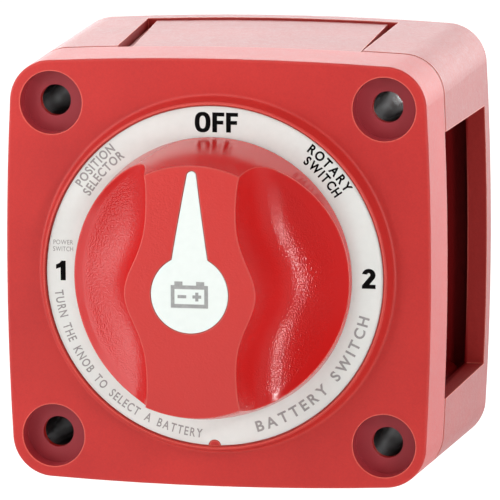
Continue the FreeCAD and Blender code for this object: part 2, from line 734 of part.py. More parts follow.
def pointer_outline(margin, low, high):
    """Hub disc with a tapering needle that ends in a rounded tip."""
    hub = cylinder(POINTER_HUB_R + margin, low, high)
    tip_r = POINTER_TIP + margin
    tip_centre = POINTER_TIP_Y - POINTER_TIP
    root = POINTER_ROOT + margin
    corners = [point(-root, POINTER_ROOT_Y, low), point(root, POINTER_ROOT_Y, low)]
    corners += [point(tip_r, tip_centre, low), point(-tip_r, tip_centre, low)]
    needle = Part.Face(Part.makePolygon(corners + corners[:1])).extrude(point(0, 0, high - low))
    return fused(hub, needle, cylinder(tip_r, low, high, 0, tip_centre))


def on_skirt(z):
    """Point on the knob's slightly barrelled skirt."""
    foot = KNOB_BASE_Z + KNOB_BASE_CHAMFER
    along = (z - foot) / (KNOB_SHOULDER_Z - foot)
    taper = (KNOB_BASE_R - KNOB_SHOULDER_R) * along
    return point(KNOB_BASE_R - taper + 4 * KNOB_SKIRT_BOW * along * (1 - along), 0, z)


def knob_blank():
    foot = KNOB_BASE_Z + KNOB_BASE_CHAMFER
    top = KNOB_TOP_Z + PAST
    side = Part.Arc(on_skirt(foot), on_skirt((foot + top) / 2), on_skirt(top)).toShape()
    base = point(KNOB_BASE_R - KNOB_BASE_CHAMFER, 0, KNOB_BASE_Z)
    ends = Part.makePolygon([on_skirt(top), point(0, 0, top), point(0, 0, KNOB_BASE_Z), base, on_skirt(foot)])
    return Part.Face(Part.Wire([side] + ends.Edges)).revolve(point(0, 0, 0), AXIS, 360)


def knob_body():
    body = knob_blank().common(crown(CROWN_RADIUS))
    right = scoop()
    return body.cut(right).cut(mirrored(right, point(1, 0, 0)))


def knob_hollow():
    """Space beneath the knob: a shallow recess, a well and a slot up each half of the grip."""
    space = cylinder(KNOB_RECESS_R, KNOB_BASE_Z - PAST, KNOB_RECESS_TOP)
    well = cylinder(KNOB_WELL_R, KNOB_BASE_Z - PAST, KNOB_WELL_TOP)
    half = KNOB_SLOT_HALF
    upper = block(-half, half, KNOB_SLOT_INNER, KNOB_SLOT_OUTER, KNOB_BASE_Z - PAST, KNOB_SLOT_TOP)
    lower = mirrored(upper, point(0, 1, 0))
    space = fused(space, well, upper, lower)
    return space.cut(cylinder(KNOB_SOCKET_R, KNOB_BASE_Z - PAST, KNOB_TOP_Z))


def knob():
    body = knob_body().cut(knob_hollow())
    recess = pointer_outline(POINTER_MARGIN, POINTER_BLANK_Z, KNOB_TOP_Z + PAST)
    body = body.cut(recess.cut(crown(CROWN_RADIUS - POINTER_DEEP)))
    gap = DRIVE_CLEARANCE
    socket = drive(DRIVE_R + gap, DRIVE_FLAT + gap, KNOB_BASE_Z - PAST, SPINDLE_TOP_Z + gap)
    body = body.cut(socket).cut(cylinder(KNOB_SCREW_R + gap, SPINDLE_TOP_Z - PAST, KNOB_TOP_Z))
    head_low = KNOB_SCREW_TOP_Z - KNOB_SCREW_HEAD
    return body.cut(cylinder(KNOB_SCREW_HEAD_R + gap, head_low - HAIR, KNOB_TOP_Z))


def pointer_label():
    label = pointer_outline(0.0, POINTER_BLANK_Z, KNOB_TOP_Z + PAST)
    return label.common(crown(CROWN_RADIUS - POINTER_SUNK)).cut(crown(CROWN_RADIUS - POINTER_DEEP + HAIR))


def knob_screw():
    """Cross-recessed screw that holds the knob on the spindle."""
    head = cylinder(KNOB_SCREW_HEAD_R, KNOB_SCREW_TOP_Z - KNOB_SCREW_HEAD, KNOB_SCREW_TOP_Z)
    shank = cylinder(KNOB_SCREW_R, KNOB_SCREW_TIP_Z, KNOB_SCREW_TOP_Z - KNOB_SCREW_HEAD + BITE)
    reach, half = CROSS_HALF, SLOT_WIDTH / 2
    slot = block(-reach, reach, -half, half, KNOB_SCREW_TOP_Z - CROSS_DEPTH, KNOB_SCREW_TOP_Z + PAST)
    return fused(head, shank).cut(slot).cut(turned(slot, 90))


def at_studs(make):
    """One piece on every stud, as separate solids in one node."""
    return Part.Compound([make(x, y) for x, y in STUD_PLACES.values()])


def pieces():
    left_bar = contact_bar()
    left_springs = contact_springs()
    right_plunger = index_plunger()
    across = point(1, 0, 0)
    made = {
        "front_housing": front_housing(),
        "dial_label": dial_label(),
        "rear_casing": rear_casing(),
        "side_plate_top": side_plate(90, TOP_WINDOW, TOP_PANEL),
        "side_plate_left": side_plate(180, SIDE_WINDOW, SIDE_PANEL),
        "side_plate_bottom": side_plate(270, SIDE_WINDOW, SIDE_PANEL),
        "terminal_base": terminal_base(),
        "base_gasket": base_gasket(),
        "base_screws": Part.Compound([base_screw(x, y) for x, y in BASE_SCREWS]),
        "stud_nuts": at_studs(stud_nut),
        "stud_flat_washers": at_studs(flat_washer),
        "stud_lock_washers": at_studs(lock_washer),
        "spindle": spindle(),
        "spindle_seal": spindle_seal(),
        "thrust_washer": thrust_washer(),
        "contact_rotor": contact_rotor(),
        "contact_bar_1": left_bar,
        "contact_bar_2": mirrored(left_bar, across),
        "contact_springs_1": left_springs,
        "contact_springs_2": mirrored(left_springs, across),
        "index_plunger_right": right_plunger,
        "index_plunger_left": mirrored(right_plunger, across),
        "index_springs": index_springs(),
        "knob": knob(),
        "pointer_label": pointer_label(),
        "knob_screw": knob_screw(),
    }
    for name, (x, y) in STUD_PLACES.items():
        made[name] = stud(x, y)
    return made


def write(name, shape):
    """Stand the switch up (+Z up, dial towards -Y) and save one piece."""
    upright = shape.copy()
    upright.rotate(point(0, 0, 0), point(1, 0, 0), 90)
    upright.exportStep(os.path.join("parts", name + ".step"))
    print(name, "valid" if upright.isValid() else "BROKEN", len(upright.Solids), round(upright.Volume, 1))


os.makedirs("parts", exist_ok=True)
for name, shape in pieces().items():
    write(name, shape)
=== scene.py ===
"""Battery selector switch: looks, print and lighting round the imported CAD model. Lengths in metres."""

import json
import math

import bmesh
import bpy
from mathutils import Matrix, Vector

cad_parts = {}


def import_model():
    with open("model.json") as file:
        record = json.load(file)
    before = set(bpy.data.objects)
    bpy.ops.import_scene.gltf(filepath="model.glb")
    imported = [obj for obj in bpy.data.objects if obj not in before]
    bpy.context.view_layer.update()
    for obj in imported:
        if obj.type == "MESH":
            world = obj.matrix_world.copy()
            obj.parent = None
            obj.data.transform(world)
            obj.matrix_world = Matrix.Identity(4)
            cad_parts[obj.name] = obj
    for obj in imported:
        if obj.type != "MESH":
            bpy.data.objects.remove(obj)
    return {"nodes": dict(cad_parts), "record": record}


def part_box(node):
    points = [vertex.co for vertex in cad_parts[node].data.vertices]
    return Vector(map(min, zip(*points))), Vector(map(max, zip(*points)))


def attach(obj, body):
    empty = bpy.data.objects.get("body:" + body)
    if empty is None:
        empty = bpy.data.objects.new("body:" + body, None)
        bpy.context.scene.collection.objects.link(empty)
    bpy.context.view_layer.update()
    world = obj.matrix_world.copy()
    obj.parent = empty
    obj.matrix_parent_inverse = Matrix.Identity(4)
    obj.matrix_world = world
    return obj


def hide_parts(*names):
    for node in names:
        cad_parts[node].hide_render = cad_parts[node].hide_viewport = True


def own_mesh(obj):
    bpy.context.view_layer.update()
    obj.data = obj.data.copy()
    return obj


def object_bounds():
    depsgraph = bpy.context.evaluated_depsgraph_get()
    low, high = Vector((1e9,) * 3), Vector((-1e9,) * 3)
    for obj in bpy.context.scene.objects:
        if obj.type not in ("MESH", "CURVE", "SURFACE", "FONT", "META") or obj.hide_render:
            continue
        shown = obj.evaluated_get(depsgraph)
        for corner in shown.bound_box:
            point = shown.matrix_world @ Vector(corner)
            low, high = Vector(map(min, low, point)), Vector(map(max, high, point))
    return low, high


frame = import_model()
cad_low, cad_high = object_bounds()

MM = 0.001

# Camera
FACE_Y = -54.6 * MM
CAMERA_AZIMUTH = 11.41
CAMERA_ELEVATION = 8.65
CAMERA_ROLL = -0.20
CAMERA_DISTANCE = 872.2 * MM
CAMERA_ASIDE = 5.3 * MM
CAMERA_UP = 3.89 * MM
CAMERA_LENS = 389.2
CAMERA_SENSOR = 36.0
CAMERA_CLIP = (0.05, 50.0)

# Room light: dark on the camera's side, brighter beside the switch, and a bright backdrop low behind it.
# The ranges are limits of the view direction's Y and Z.
ROOM_FRONT = 0.05
ROOM_SIDE = 0.32
ROOM_RANGE = (-0.5, 0.0)
BACKDROP = 4.2
BACKDROP_FOOT = 1.2
BACKDROP_RANGE = (0.4, 0.85)
BACKDROP_RISE = (-0.16, 0.02)
BACKDROP_TOP = (0.3, 0.6)

# The switch hangs over the floor, so that its bottom plate has room to come out
FLOOR_GLOW = 0.57
FLOOR_HALF = 4.0
FLOOR_DROP = 45.0 * MM

# Softboxes: name, direction from the switch, distance, width and height, light level at the switch
SOFTBOXES = (
    ("key", (-0.73, -0.57, 0.37), 0.30, (0.28, 0.28), 0.53),
    ("card", (-0.70, -0.67, -0.22), 0.50, (0.35, 0.35), 0.25),
    ("top", (-0.1, -0.42, 0.90), 0.60, (0.50, 0.30), 0.34),
    ("strip", (0.79, -0.60, -0.16), 0.9, (0.12, 0.44), 0.48),
    ("upper_strip", (0.70, -0.59, 0.41), 0.9, (0.12, 0.12), 0.20),
)

# Dial print. The outlines of the figures and the symbol are drawn in millimetres round their middles.
PRINT_THICK = 0.02 * MM
MARK_RADIUS = 25.3 * MM
OFF_AT = (0.5 * MM, 25.0 * MM)
OFF_LETTERS_ASIDE = (-2.25 * MM, 0.32 * MM, 2.57 * MM)
SIDE_MARK_HEIGHT = 0.3 * MM
STROKE = 0.78
LETTER_HALF = 1.6
ROUND_LETTER_HALF_WIDTH = 1.29
ROUND_LETTER_HALF_HEIGHT = 1.65
ROUND_LETTER_HOLLOW = 1.03
ROUND_LETTER_POWER = 2.5
ROUND_LETTER_STEPS = 48
CAP_RATIO = 0.70
WORD_GAP = 0.45

# Corner screw bores
HOLE_AT = 27.325 * MM
BORE_REACH = 2.9 * MM
COUNTERBORE_REACH = 5.3 * MM
COUNTERBORE_DEPTH = 3.6 * MM
EDGE_FADE = 0.2 * MM

# Words round the dial: text, letter height, radius, angle counted anticlockwise from the right, letter gap,
# whether the letters' tops point outward, added boldness, width against height
GREY_RING_WORDS = (
    ("BATTERY SWITCH", 1.7 * MM, 25.4 * MM, 316, 0.55 * MM, False, 0.06, 1.0),
    ("TURN THE KNOB TO SELECT A BATTERY", 1.4 * MM, 25.9 * MM, 226, 0.27 * MM, False, 0.03, 0.74),
    ("POSITION", 1.4 * MM, 26.4 * MM, 138, 0.24 * MM, True, 0.05, 0.85),
    ("SELECTOR", 1.4 * MM, 24.6 * MM, 138, 0.20 * MM, True, 0.05, 0.85),
)
BLACK_RING_WORDS = (
    ("ROTARY", 1.45 * MM, 26.35 * MM, 43.5, 0.30 * MM, True, 0.07, 0.92),
    ("SWITCH", 1.45 * MM, 24.45 * MM, 43, 0.26 * MM, True, 0.07, 0.85),
)

# Level words left on the dial: text, letter height, middle X and Z, letter gap, width against height
LEVEL_WORDS = (
    ("POWER", 0.75 * MM, -24.9 * MM, 4.9 * MM, 0.10 * MM, 0.85),
    ("SWITCH", 0.75 * MM, -24.9 * MM, 3.8 * MM, 0.10 * MM, 0.8),
)

# Terminal studs: 3/8-16 thread
STUD_RADIUS = 4.76 * MM
THREAD_PITCH = 25.4 / 16 * MM
THREAD_DEPTH = 0.92 * MM
THREAD_AROUND = 48
THREAD_ROWS_PER_TURN = 10
THREAD_CREST = 0.08
THREAD_FLANK = 0.80
STUD_LEAD_IN = 0.8 * MM
STUD_HEAD = 2.0 * MM
STUD_HEAD_CHAMFER = 0.3 * MM

# Hollow of the rear casing, where the red is painted darker as shade
INSIDE_HALF = 32.7 * MM
INSIDE_CORNER = 0.52
INSIDE_FRONT_Y = -44.0 * MM
INSIDE_BACK_Y = -2.3 * MM
INSIDE_FADE = 0.4 * MM

# Knob: the grip's top face is a wide arc over the switch axis, satin down to the fade and glossy below it.
# The relief ends at the skirt.
KNOB_FRONT_Y = -76.2 * MM
CROWN_RADIUS = 92.0 * MM
FACE_FADE = (0.5 * MM, 0.2 * MM)
KNOB_EDGE = 0.35 * MM
KNOB_GRAIN = 3000.0
KNOB_SPARKLE = 4200.0
KNOB_RELIEF = 0.075 * MM
SKIRT_RADIUS = 20.2 * MM
SKIRT_FADE = 1.0 * MM


# ---------------------------------------------------------------- node helpers

class Graph:
    """Short calls for the nodes of one tree."""

    def __init__(self, tree):
        self.tree = tree

    def node(self, kind, **settings):
        made = self.tree.nodes.new(kind)
        for key, value in settings.items():
            setattr(made, key, value)
        return made

    def link(self, source, target):
        self.tree.links.new(source, target)

    def feed(self, target, value):
        """Link a socket, or set a plain number."""
        if isinstance(value, (int, float)):
            target.default_value = value
        else:
            self.link(value, target)

    def split(self, vector):
        made = self.node("ShaderNodeSeparateXYZ")
        self.link(vector, made.inputs[0])
        return made.outputs

    def range(self, value, low, high, out_low=0.0, out_high=1.0, smooth=False):
        made = self.node("ShaderNodeMapRange")
        if smooth:
            made.interpolation_type = "SMOOTHSTEP"
        self.link(value, made.inputs["Value"])
        limits = (("From Min", low), ("From Max", high), ("To Min", out_low), ("To Max", out_high))
        for key, limit in limits:
            made.inputs[key].default_value = limit
        return made.outputs["Result"]

    def math(self, operation, first, second=0.0):
        made = self.node("ShaderNodeMath", operation=operation)
        self.feed(made.inputs[0], first)
        self.feed(made.inputs[1], second)
        return made.outputs[0]

    def blend(self, factor, first, second):
        """Blend two numbers, either of them a socket."""
        made = self.node("ShaderNodeMix", data_type="FLOAT")
        self.feed(made.inputs["Factor"], factor)
        self.feed(made.inputs["A"], first)
        self.feed(made.inputs["B"], second)
        return made.outputs["Result"]

    def mix(self, factor, first, second):
        """Blend two colours given as (r, g, b) or as sockets."""
        made = self.node("ShaderNodeMix", data_type="RGBA")
        self.feed(made.inputs["Factor"], factor)
        for key, colour in (("A", first), ("B", second)):
            socket = [item for item in made.inputs if item.name == key and item.type == "RGBA"][0]
            if isinstance(colour, tuple):
                socket.default_value = (*colour, 1.0)
            else:
                self.link(colour, socket)
        return [item for item in made.outputs if item.type == "RGBA"][0]


class Shader(Graph):
    """A material with a Principled shader, its textures placed in the switch's own frame."""

    def __init__(self, name, roughness, metallic=0.0, specular=0.5):
        self.material = bpy.data.materials.new(name)
        self.material.use_nodes = True
        super().__init__(self.material.node_tree)
        self.bsdf = self.tree.nodes["Principled BSDF"]
        self.bsdf.inputs["Roughness"].default_value = roughness
        self.bsdf.inputs["Metallic"].default_value = metallic
        self.bsdf.inputs["Specular IOR Level"].default_value = specular
        self.place = self.node("ShaderNodeTexCoord").outputs["Object"]

    def noise(self, scale, detail=2.0, roughness=0.5, place=None):
        made = self.node("ShaderNodeTexNoise")
        self.link(place or self.place, made.inputs["Vector"])
        made.inputs["Scale"].default_value = scale
        made.inputs["Detail"].default_value = detail
        made.inputs["Roughness"].default_value = roughness
        return made.outputs["Fac"]

    def colour(self, socket):
        self.link(socket, self.bsdf.inputs["Base Color"])

    def rough(self, socket):
        self.link(socket, self.bsdf.inputs["Roughness"])

    def rounded_normal(self, radius):
        made = self.node("ShaderNodeBevel", samples=6)
        made.inputs["Radius"].default_value = radius
        return made.outputs["Normal"]

    def edges(self, radius):
        """1 on sharp edges, 0 on flat and gently curved faces."""
        dot = self.node("ShaderNodeVectorMath", operation="DOT_PRODUCT")
        self.link(self.rounded_normal(radius), dot.inputs[0])
        self.link(self.node("ShaderNodeNewGeometry").outputs["Normal"], dot.inputs[1])
        return self.range(dot.outputs["Value"], 1.0, EDGE_TURN)

    def relief(self, height, distance, strength=1.0, round_edges=None):
        """Bump, on top of slightly rounded edges if a radius is given."""
        bump = self.node("ShaderNodeBump")
        bump.inputs["Strength"].default_value = strength
        bump.inputs["Distance"].default_value = distance
        self.link(height, bump.inputs["Height"])
        if round_edges:
            self.link(self.rounded_normal(round_edges), bump.inputs["Normal"])
        self.link(bump.outputs["Normal"], self.bsdf.inputs["Normal"])


# ---------------------------------------------------------------- materials

# Most of a noise texture's values lie in this range
NOISE_RANGE = (0.3, 0.7)

# Edges: cosine of the normal's turn that counts as sharp, band beside a moulded edge, how strongly painted
# highlights pale the edges
EDGE_TURN = 0.86
MOULDED_EDGE = 0.4 * MM
MOULDED_HIGHLIGHT_AMOUNT = 0.8
KNOB_HIGHLIGHT_AMOUNT = 0.9

# Moulded red: range of the mottle that goes from deep to pale, specular level outside and in the hollow
MOTTLE_RANGE = (0.35, 0.62)
MOTTLE_GRAIN = 0.55
CLOUD_SCALE = 60.0
SPECULAR_OUTSIDE = 0.5
SPECULAR_INSIDE = 0.15

RED = (0.60, 0.026, 0.020)
# Paler red painted on sharp edges as a highlight
RED_PAINTED_HIGHLIGHT = (0.85, 0.19, 0.14)
RED_DEEP = (0.51, 0.018, 0.016)
RED_CASING = (0.43, 0.022, 0.018)
RED_CASING_DEEP = (0.36, 0.017, 0.014)
# Darker, purplish red painted in the screw seats as shade
RED_PAINTED_SEAT_SHADE = (0.42, 0.036, 0.050)
# Near-black red painted inside the casing's hollow as shade
RED_PAINTED_HOLLOW_SHADE = (0.19, 0.003, 0.004)
KNOB_RED = (0.62, 0.010, 0.009)
# Paler red painted on the knob's sharp edges as a highlight
KNOB_RED_PAINTED_HIGHLIGHT = (0.76, 0.13, 0.10)
LABEL_WHITE = (0.78, 0.83, 0.795)
LABEL_WHITE_PALE = (0.805, 0.855, 0.82)
BLACK = (0.010, 0.010, 0.012)
BLACK_PALE = (0.022, 0.022, 0.026)
BORE_METAL = (0.20, 0.20, 0.21)
RUBBER_BLACK = (0.012, 0.012, 0.012)
RUBBER_BLACK_PALE = (0.030, 0.030, 0.030)
NYLON_WHITE = (0.68, 0.66, 0.58)
NYLON_WHITE_PALE = (0.78, 0.76, 0.70)
FLOOR_GREY = (0.50, 0.50, 0.50)
FLOOR_GREY_PALE = (0.52, 0.52, 0.52)


def grain(shader, scale):
    """Fine spark-eroded mould grain."""
    fine = shader.noise(scale, detail=3.0, roughness=0.6)
    coarse = shader.noise(scale * 0.3, detail=1.0)
    return shader.blend(0.25, fine, coarse)


def within_corner_hole(shader, reach):
    """1 within reach of one of the four corner hole axes, 0 outside."""
    x, _, z = shader.split(shader.place)
    aside = shader.math("SUBTRACT", shader.math("ABSOLUTE", x), HOLE_AT)
    above = shader.math("SUBTRACT", shader.math("ABSOLUTE", z), HOLE_AT)
    squares = shader.math("ADD", shader.math("MULTIPLY", aside, aside), shader.math("MULTIPLY", above, above))
    return shader.range(shader.math("SQRT", squares), reach, reach + EDGE_FADE, 1.0, 0.0)


def counterbore(shader):
    """1 in the sunk seats of the corner screws, 0 on the face round them."""
    y = shader.split(shader.place)[1]
    sunk = shader.range(y, FACE_Y + EDGE_FADE, FACE_Y + 4 * EDGE_FADE)
    seat = shader.range(y, FACE_Y + COUNTERBORE_DEPTH, FACE_Y + COUNTERBORE_DEPTH + EDGE_FADE, 1.0, 0.0)
    depth = shader.math("MULTIPLY", sunk, seat)
    return shader.math("MULTIPLY", depth, within_corner_hole(shader, COUNTERBORE_REACH))


def inside_casing(shader):
    """1 within the hollow of the casing, 0 on the outer surfaces."""
    x, y, z = shader.split(shader.place)
    aside, above = shader.math("ABSOLUTE", x), shader.math("ABSOLUTE", z)
    to_corner = shader.math("MULTIPLY", shader.math("ADD", aside, above), INSIDE_CORNER)
    across = shader.math("MAXIMUM", shader.math("MAXIMUM", aside, above), to_corner)
    within = shader.range(across, INSIDE_HALF, INSIDE_HALF + INSIDE_FADE, 1.0, 0.0)
    behind = shader.range(y, INSIDE_FRONT_Y, INSIDE_FRONT_Y + INSIDE_FADE)
    ahead = shader.range(y, INSIDE_BACK_Y, INSIDE_BACK_Y + INSIDE_FADE, 1.0, 0.0)
    return shader.math("MULTIPLY", within, shader.math("MULTIPLY", behind, ahead))


def moulded_red(name, body, deep, grain_scale, grain_depth, smoothest, roughest, edge_round):
    """Red moulding: cloudy colour, a painted highlight on the edges, painted shade in the screw seats and in
    the hollow, mould grain.
    """
    shader = Shader(name, roughness=0.42)
    cloud = shader.noise(CLOUD_SCALE, detail=2.0)
    height = grain(shader, grain_scale)
    mottle = shader.blend(MOTTLE_GRAIN, cloud, height)
    outer = shader.mix(shader.range(mottle, *MOTTLE_RANGE), deep, body)
    # Sharp edges are paled with a painted highlight
    painted_edge_highlight = shader.math("MULTIPLY", shader.edges(MOULDED_EDGE), MOULDED_HIGHLIGHT_AMOUNT)
    outer = shader.mix(painted_edge_highlight, outer, RED_PAINTED_HIGHLIGHT)
    # Painted shade in the screw seats
    outer = shader.mix(counterbore(shader), outer, RED_PAINTED_SEAT_SHADE)
    # Painted shade in the casing's hollow, which also gets a lower specular level
    inside = inside_casing(shader)
    shader.colour(shader.mix(inside, outer, RED_PAINTED_HOLLOW_SHADE))
    specular = shader.range(inside, 0.0, 1.0, SPECULAR_OUTSIDE, SPECULAR_INSIDE)
    shader.link(specular, shader.bsdf.inputs["Specular IOR Level"])
    shader.rough(shader.range(height, *NOISE_RANGE, smoothest, roughest))
    shader.relief(height, grain_depth, 0.5, edge_round)
    return shader.material


def knob_red():
    """Satin grained grip face, glossier scoops and skirt."""
    shader = Shader("knob_red", roughness=0.3, specular=0.7)
    x, y, z = shader.split(shader.place)
    crown_fall = shader.math("DIVIDE", shader.math("MULTIPLY", z, z), 2 * CROWN_RADIUS)
    below_crown = shader.math("SUBTRACT", shader.math("ADD", y, -KNOB_FRONT_Y), crown_fall)
    face = shader.range(below_crown, *FACE_FADE, smooth=True)
    texture = grain(shader, KNOB_GRAIN)
    sparkle = shader.noise(KNOB_SPARKLE, detail=0.5)
    satin = shader.range(texture, *NOISE_RANGE, 0.36, 0.48)
    gloss = shader.range(texture, *NOISE_RANGE, 0.17, 0.25)
    shader.rough(shader.blend(face, gloss, satin))
    # Sharp edges of the knob are paled with a painted highlight
    painted_edge_highlight = shader.math("MULTIPLY", shader.edges(KNOB_EDGE), KNOB_HIGHLIGHT_AMOUNT)
    shader.colour(shader.mix(painted_edge_highlight, shader.mix(face, KNOB_RED, RED), KNOB_RED_PAINTED_HIGHLIGHT))
    radius_squared = shader.math("ADD", shader.math("MULTIPLY", x, x), shader.math("MULTIPLY", z, z))
    scooped = shader.range(shader.math("SQRT", radius_squared), SKIRT_RADIUS + SKIRT_FADE, SKIRT_RADIUS)
    bumps = shader.blend(face, sparkle, texture)
    shader.relief(shader.math("MULTIPLY", bumps, scooped), KNOB_RELIEF, 1.0, round_edges=KNOB_EDGE)
    return shader.material


def label_film():
    shader = Shader("label_film", roughness=0.4)
    speck = shader.noise(900.0, detail=3.0)
    shader.colour(shader.mix(shader.range(speck, *NOISE_RANGE), LABEL_WHITE, LABEL_WHITE_PALE))
    shader.rough(shader.range(speck, *NOISE_RANGE, 0.38, 0.44))
    shader.relief(speck, 0.004 * MM, 0.3)
    return shader.material


def ink(name, dark, pale):
    shader = Shader(name, roughness=0.6, specular=0.0)
    speck = shader.noise(1500.0, detail=2.0)
    shader.colour(shader.mix(shader.range(speck, 0.35, 0.7), dark, pale))
    shader.rough(shader.range(speck, *NOISE_RANGE, 0.5, 0.7))
    return shader.material


def black_moulding():
    """Glass-filled black moulding with faint flow marks; the screw bores are lined with bright metal."""
    shader = Shader("black_moulding", roughness=0.3)
    flow = shader.noise(120.0, detail=4.0, roughness=0.65)
    fine = shader.noise(2500.0, detail=2.0)
    black = shader.mix(shader.range(flow, *NOISE_RANGE), BLACK, BLACK_PALE)
    lining = within_corner_hole(shader, BORE_REACH)
    shader.colour(shader.mix(lining, black, BORE_METAL))
    shader.link(shader.math("MULTIPLY", lining, 0.8), shader.bsdf.inputs["Metallic"])
    satin = shader.range(flow, *NOISE_RANGE, 0.22, 0.36)
    bright = shader.range(flow, 0.4, 0.6, 0.08, 0.20)
    shader.rough(shader.blend(lining, satin, bright))
    shader.relief(fine, 0.03 * MM, 0.3, round_edges=0.2 * MM)
    return shader.material


def metal(name, dark, pale, roughness, streak=(1.0, 1.0, 1.0)):
    """Metal with fine scratches, stretched along one axis where it is brushed or turned."""
    shader = Shader(name, roughness=roughness, metallic=1.0)
    mapping = shader.node("ShaderNodeMapping")
    mapping.inputs["Scale"].default_value = streak
    shader.link(shader.place, mapping.inputs["Vector"])
    marks = shader.noise(900.0, detail=4.0, roughness=0.7, place=mapping.outputs["Vector"])
    stain = shader.noise(90.0, detail=3.0)
    shader.colour(shader.mix(shader.range(stain, 0.3, 0.75), pale, dark))
    shader.rough(shader.range(marks, *NOISE_RANGE, roughness * 0.75, roughness * 1.35))
    shader.relief(marks, 0.02 * MM, 0.25, round_edges=0.12 * MM)
    return shader.material


def rubber():
    shader = Shader("rubber", roughness=0.65)
    speck = shader.noise(1800.0, detail=3.0)
    shader.colour(shader.mix(shader.range(speck, *NOISE_RANGE), RUBBER_BLACK, RUBBER_BLACK_PALE))
    shader.relief(speck, 0.03 * MM, 0.4)
    return shader.material


def nylon():
    shader = Shader("nylon", roughness=0.4)
    cloud = shader.noise(400.0, detail=3.0)
    shader.colour(shader.mix(shader.range(cloud, *NOISE_RANGE), NYLON_WHITE, NYLON_WHITE_PALE))
    shader.rough(shader.range(cloud, *NOISE_RANGE, 0.34, 0.48))
    shader.relief(cloud, 0.02 * MM, 0.3, round_edges=0.1 * MM)
    return shader.material


SLOT_MATERIALS = {
    "housing_red": moulded_red("moulded_red", RED, RED_DEEP, grain_scale=3200.0, grain_depth=0.05 * MM,
                               smoothest=0.42, roughest=0.54, edge_round=0.10 * MM),
    "knob_red": knob_red(),
    "label_white": label_film(),
    "black_plastic": black_moulding(),
    "tinned_copper": metal("tinned_copper", (0.50, 0.49, 0.46), (0.70, 0.69, 0.66), 0.30),
    "copper": metal("copper", (0.50, 0.20, 0.12), (0.72, 0.34, 0.22), 0.32),
    "brass": metal("brass", (0.48, 0.34, 0.13), (0.66, 0.48, 0.20), 0.30, streak=(1.0, 6.0, 1.0)),
    "steel": metal("steel", (0.40, 0.40, 0.41), (0.60, 0.60, 0.61), 0.26),
    "rubber": rubber(),
    "nylon": nylon(),
}
CASING_RED = moulded_red("casing_red", RED_CASING, RED_CASING_DEEP, grain_scale=2400.0, grain_depth=0.09 * MM,
                         smoothest=0.40, roughest=0.52, edge_round=None)
CASING_NODES = ("rear_casing", "side_plate_top", "side_plate_left", "side_plate_bottom")
BLACK_INK = ink("black_ink", (0.004, 0.004, 0.004), (0.008, 0.008, 0.008))
GREY_INK = ink("grey_ink", (0.32, 0.32, 0.315), (0.38, 0.38, 0.37))


def dress_nodes():
    """Give every CAD node the material of its slot; the casing and its plates are a coarser grained red."""
    for part in frame["record"]["subparts"]:
        node = frame["nodes"][part["node"]]
        material = CASING_RED if part["node"] in CASING_NODES else SLOT_MATERIALS[part["material_slot"]]
        node.data.materials.clear()
        node.data.materials.append(material)


# ---------------------------------------------------------------- mesh helpers

def add_object(name, data):
    made = bpy.data.objects.new(name, data)
    bpy.context.collection.objects.link(made)
    return made


def add_mesh(name, vertices, faces, material):
    mesh = bpy.data.meshes.new(name)
    mesh.from_pydata(vertices, [], faces)
    mesh.materials.append(material)
    mesh.validate()
    fix = bmesh.new()
    fix.from_mesh(mesh)
    bmesh.ops.recalc_face_normals(fix, faces=fix.faces)
    fix.to_mesh(mesh)
    fix.free()
    return add_object(name, mesh)


def arc_points(centre, across, up, start, end, count):
    """Points on an ellipse arc, in degrees."""
    points = []
    for step in range(count + 1):
        angle = math.radians(start + (end - start) * step / count)
        points.append((centre[0] + across * math.cos(angle), centre[1] + up * math.sin(angle)))
    return points


# ---------------------------------------------------------------- dial print

def box_outline(left, low, right, high):
    return [(left, low), (right, low), (right, high), (left, high)]


def glyph_o():
    """Bold O as two rounded-square outlines."""
    outer, inner = [], []
    power, half_width = ROUND_LETTER_POWER, ROUND_LETTER_HALF_WIDTH
    for step in range(ROUND_LETTER_STEPS):
        angle = 2 * math.pi * step / ROUND_LETTER_STEPS
        x, y = math.cos(angle), math.sin(angle)
        squarish = (abs(x) ** power + abs(y) ** power) ** (-1 / power)
        outer.append((half_width * x * squarish, ROUND_LETTER_HALF_HEIGHT * y * squarish))
        inner.append(((half_width - STROKE) * x * squarish, ROUND_LETTER_HOLLOW * y * squarish))
    return [outer, inner]


def glyph_f():
    left, right, top = -0.98, 0.98, LETTER_HALF
    stem, arm = left + STROKE, 0.62
    return [[(left, -top), (stem, -top), (stem, -0.33), (right - 0.16, -0.33), (right - 0.16, 0.29),
             (stem, 0.29), (stem, top - arm), (right, top - arm), (right, top), (left, top)]]


def glyph_one():
    left, right, top = -0.05, 0.80, LETTER_HALF
    flag = [(0.10, top), (-0.20, 1.22), (-0.80, 0.95), (-0.80, 0.25), (left, 0.50)]
    return [[(left, -top), (right, -top), (right, top)] + flag]


def glyph_two():
    """Bold 2: a hook, a diagonal and a foot."""
    outside = arc_points((0.0, 0.62), 1.10, 1.01, 172, -32, 18)
    inside = arc_points((-0.02, 0.66), 0.26, 0.30, -36, 172, 10)
    foot = [(0.10, -0.93), (1.10, -0.93), (1.10, -LETTER_HALF), (-1.12, -LETTER_HALF), (-1.12, -1.10)]
    return [outside + foot + inside]


